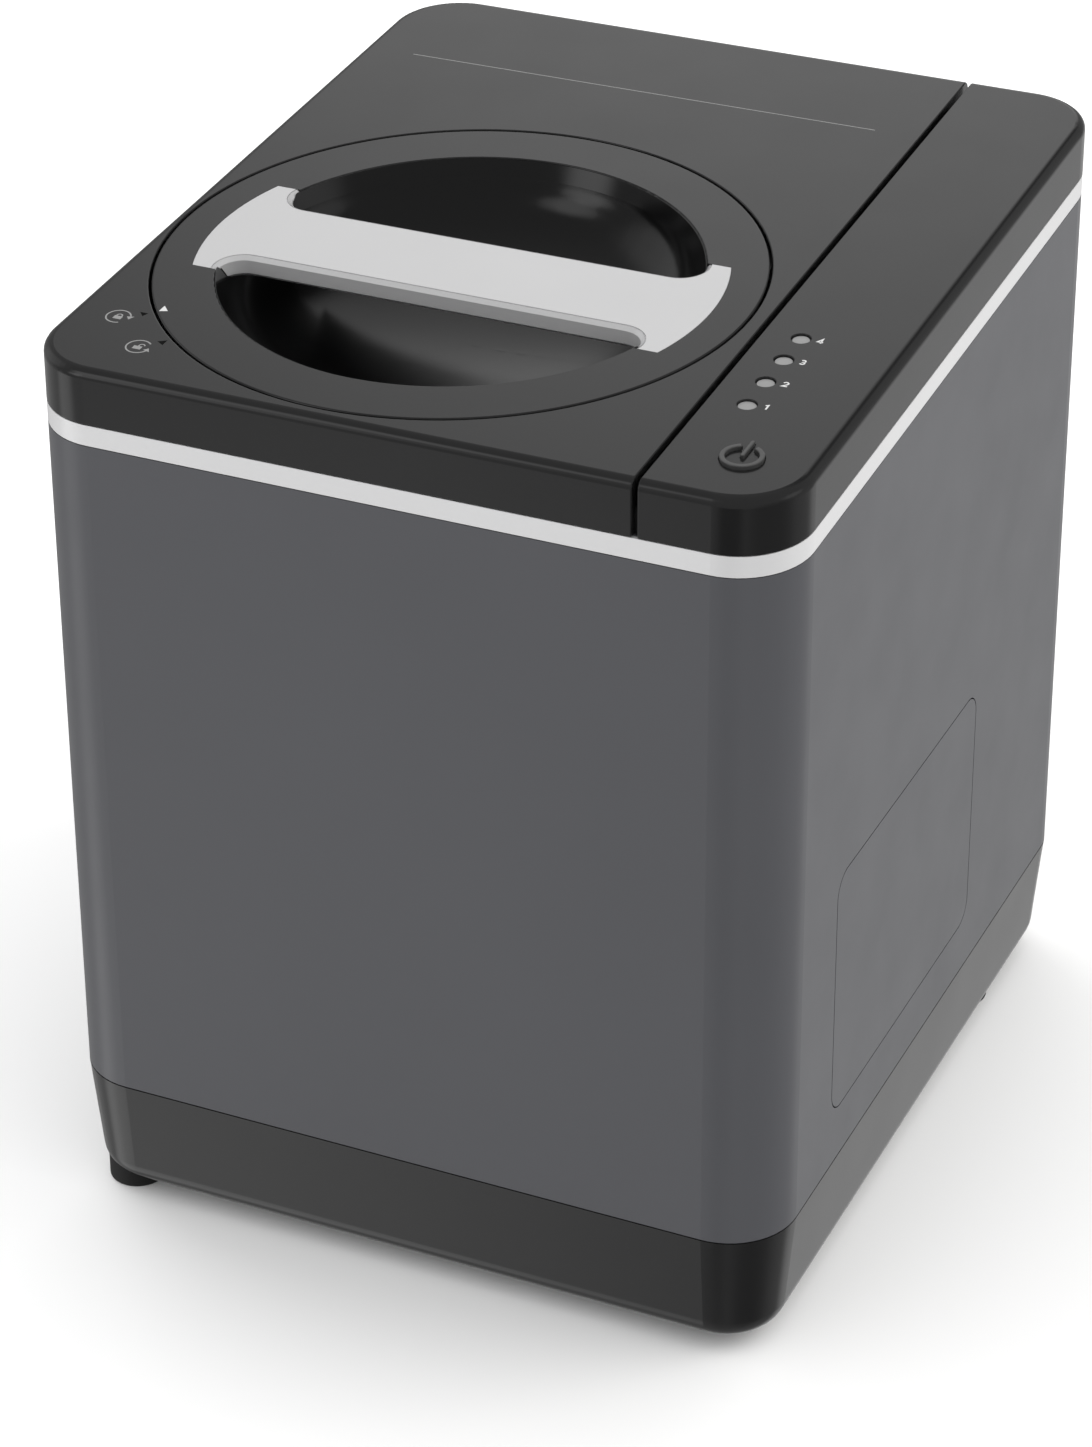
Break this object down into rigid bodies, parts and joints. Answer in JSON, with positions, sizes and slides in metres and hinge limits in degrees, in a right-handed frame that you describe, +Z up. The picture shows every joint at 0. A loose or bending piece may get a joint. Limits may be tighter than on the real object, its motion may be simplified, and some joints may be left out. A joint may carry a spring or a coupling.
{
  "type": "electric food waste composter",
  "caption": "Counter-top food waste recycler: rounded box with a twist-off lid, lift-out grinding bucket, geared motor, heated well, filter bay, status lights and a power button.",
  "frame": {"origin": "middle of the footprint on the resting plane under the feet", "axes": "+Z up, +Y towards the back, +X to the right as seen from the front"},
  "size_m": [0.28, 0.32, 0.3638],
  "materials": {
    "shell_grey": "satin moulded, charcoal grey",
    "deck_grey": "satin moulded, dark grey",
    "base_dark": "satin moulded, near black",
    "silver_trim": "satin silver paint",
    "bowl_black": "high gloss black",
    "lens": "translucent, frosted",
    "rubber": "soft black",
    "seal": "grey silicone",
    "black_plastic": "moulded black",
    "filter_media": "black case with a felt face",
    "steel": "bright steel",
    "zinc_steel": "zinc-plated sheet",
    "bucket_metal": "dark non-stick coat",
    "heater_metal": "cast aluminium",
    "insulation": "mineral wool",
    "gearbox_nylon": "glass-filled nylon",
    "circuit_board": "green solder mask",
    "component_dark": "black component cases",
    "transformer": "taped winding and core",
    "bearing_bronze": "sintered bronze"
  },
  "bodies": {
    "housing": {"base_tray": "base_dark", "rubber_feet": "rubber", "outer_shell": "shell_grey", "rear_panel": "shell_grey", "exhaust_grille": "black_plastic", "inlet_socket": "black_plastic", "trim_band": "silver_trim", "top_deck": "deck_grey", "control_cover": "deck_grey", "status_lenses": "lens", "control_board": "circuit_board", "status_leds": "lens", "lock_ring": "black_plastic", "lid_switch": "component_dark", "bucket_well": "steel", "well_insulation": "insulation", "heater_plate": "heater_metal", "heater_element": "steel", "temperature_sensor": "component_dark", "support_frame": "zinc_steel", "gearbox_housing": "gearbox_nylon", "gearbox_cover": "gearbox_nylon", "output_bearings": "bearing_bronze", "idler_pin": "steel", "motor_can": "zinc_steel", "motor_end_cap": "component_dark", "power_board": "circuit_board", "board_capacitors": "component_dark", "board_transformer": "transformer", "case_screws": "steel", "filter_bay": "black_plastic", "air_duct": "black_plastic", "exhaust_duct": "black_plastic", "fan_housing": "black_plastic"},
    "power_button": {"power_button": "deck_grey"},
    "filter_cover": {"filter_cover": "shell_grey"},
    "filter_front": {"filter_cartridge_front": "filter_media"},
    "filter_rear": {"filter_cartridge_rear": "filter_media"},
    "output": {"output_shaft": "steel", "output_gear": "steel", "drive_dog": "steel"},
    "idler": {"idler_gear": "steel"},
    "motor": {"motor_shaft": "steel", "motor_pinion": "steel"},
    "fan": {"fan_rotor": "black_plastic"},
    "lid_inner": {"lid_liner": "black_plastic", "lid_gasket": "seal"},
    "lid": {"lid_cover": "deck_grey", "lid_bowl": "bowl_black", "lid_handle": "silver_trim", "handle_screws": "steel", "lid_retainer": "zinc_steel"},
    "bucket": {"bucket": "bucket_metal", "bucket_floor": "bucket_metal", "bucket_hub": "bucket_metal", "breaker_bars": "steel", "rotor_bushing": "bearing_bronze"},
    "bail": {"bucket_bail": "steel"},
    "grinder": {"grinder_rotor": "steel", "rotor_coupling": "steel"}
  },
  "joints": [
    {"name": "lid_lift", "type": "slide", "parent": "housing", "child": "lid_inner", "axis": [0, -0.0597, 0.9982], "range_m": [0, 0.45]},
    {"name": "lid_twist", "type": "hinge", "parent": "lid_inner", "child": "lid", "pos_m": [-0.0273, -0.04582, 0.35176], "axis": [0, -0.0597, 0.9982], "range_deg": [0, 12]},
    {"name": "bucket_lift", "type": "slide", "parent": "housing", "child": "bucket", "axis": [0, 0, 1], "range_m": [0, 0.225]},
    {"name": "bail_swing", "type": "hinge", "parent": "bucket", "child": "bail", "pos_m": [-0.0273, -0.0444, 0.3035], "axis": [1, 0, 0], "range_deg": [0, 90]},
    {"name": "output_spin", "type": "hinge", "parent": "housing", "child": "output", "pos_m": [-0.0273, -0.0444, 0.1], "axis": [0, 0, 1], "continuous": true},
    {"name": "idler_spin", "type": "hinge", "parent": "housing", "child": "idler", "pos_m": [-0.0273, 0.0081, 0.1], "axis": [0, 0, 1], "continuous": true},
    {"name": "motor_spin", "type": "hinge", "parent": "housing", "child": "motor", "pos_m": [-0.0273, 0.0431, 0.06], "axis": [0, 0, 1], "continuous": true},
    {"name": "grinder_spin", "type": "hinge", "parent": "bucket", "child": "grinder", "pos_m": [-0.0273, -0.0444, 0.15], "axis": [0, 0, 1], "continuous": true},
    {"name": "fan_spin", "type": "hinge", "parent": "housing", "child": "fan", "pos_m": [0.07, 0.1425, 0.15], "axis": [0, 1, 0], "continuous": true},
    {"name": "filter_cover_off", "type": "slide", "parent": "housing", "child": "filter_cover", "axis": [1, 0, 0], "range_m": [0, 0.15]},
    {"name": "filter_front_out", "type": "slide", "parent": "housing", "child": "filter_front", "axis": [1, 0, 0], "range_m": [0, 0.07]},
    {"name": "filter_rear_out", "type": "slide", "parent": "housing", "child": "filter_rear", "axis": [1, 0, 0], "range_m": [0, 0.07]},
    {"name": "power_press", "type": "slide", "parent": "housing", "child": "power_button", "axis": [0, 0.0597, -0.9982], "range_m": [0, 0.001], "stiffness_N_per_m": 600, "springref_m": -0.0005}
  ],
  "couplings": [
    {"joint": "bucket_lift", "follows": "lid_lift", "ratio": 0.5},
    {"joint": "bail_swing", "follows": "lid_lift", "rad_per_m": 3.14},
    {"joint": "idler_spin", "follows": "output_spin", "ratio": -4},
    {"joint": "motor_spin", "follows": "output_spin", "ratio": 16},
    {"joint": "grinder_spin", "follows": "output_spin", "ratio": 1},
    {"joint": "filter_front_out", "follows": "filter_cover_off", "ratio": 0.45},
    {"joint": "filter_rear_out", "follows": "filter_cover_off", "ratio": 0.45}
  ]
}
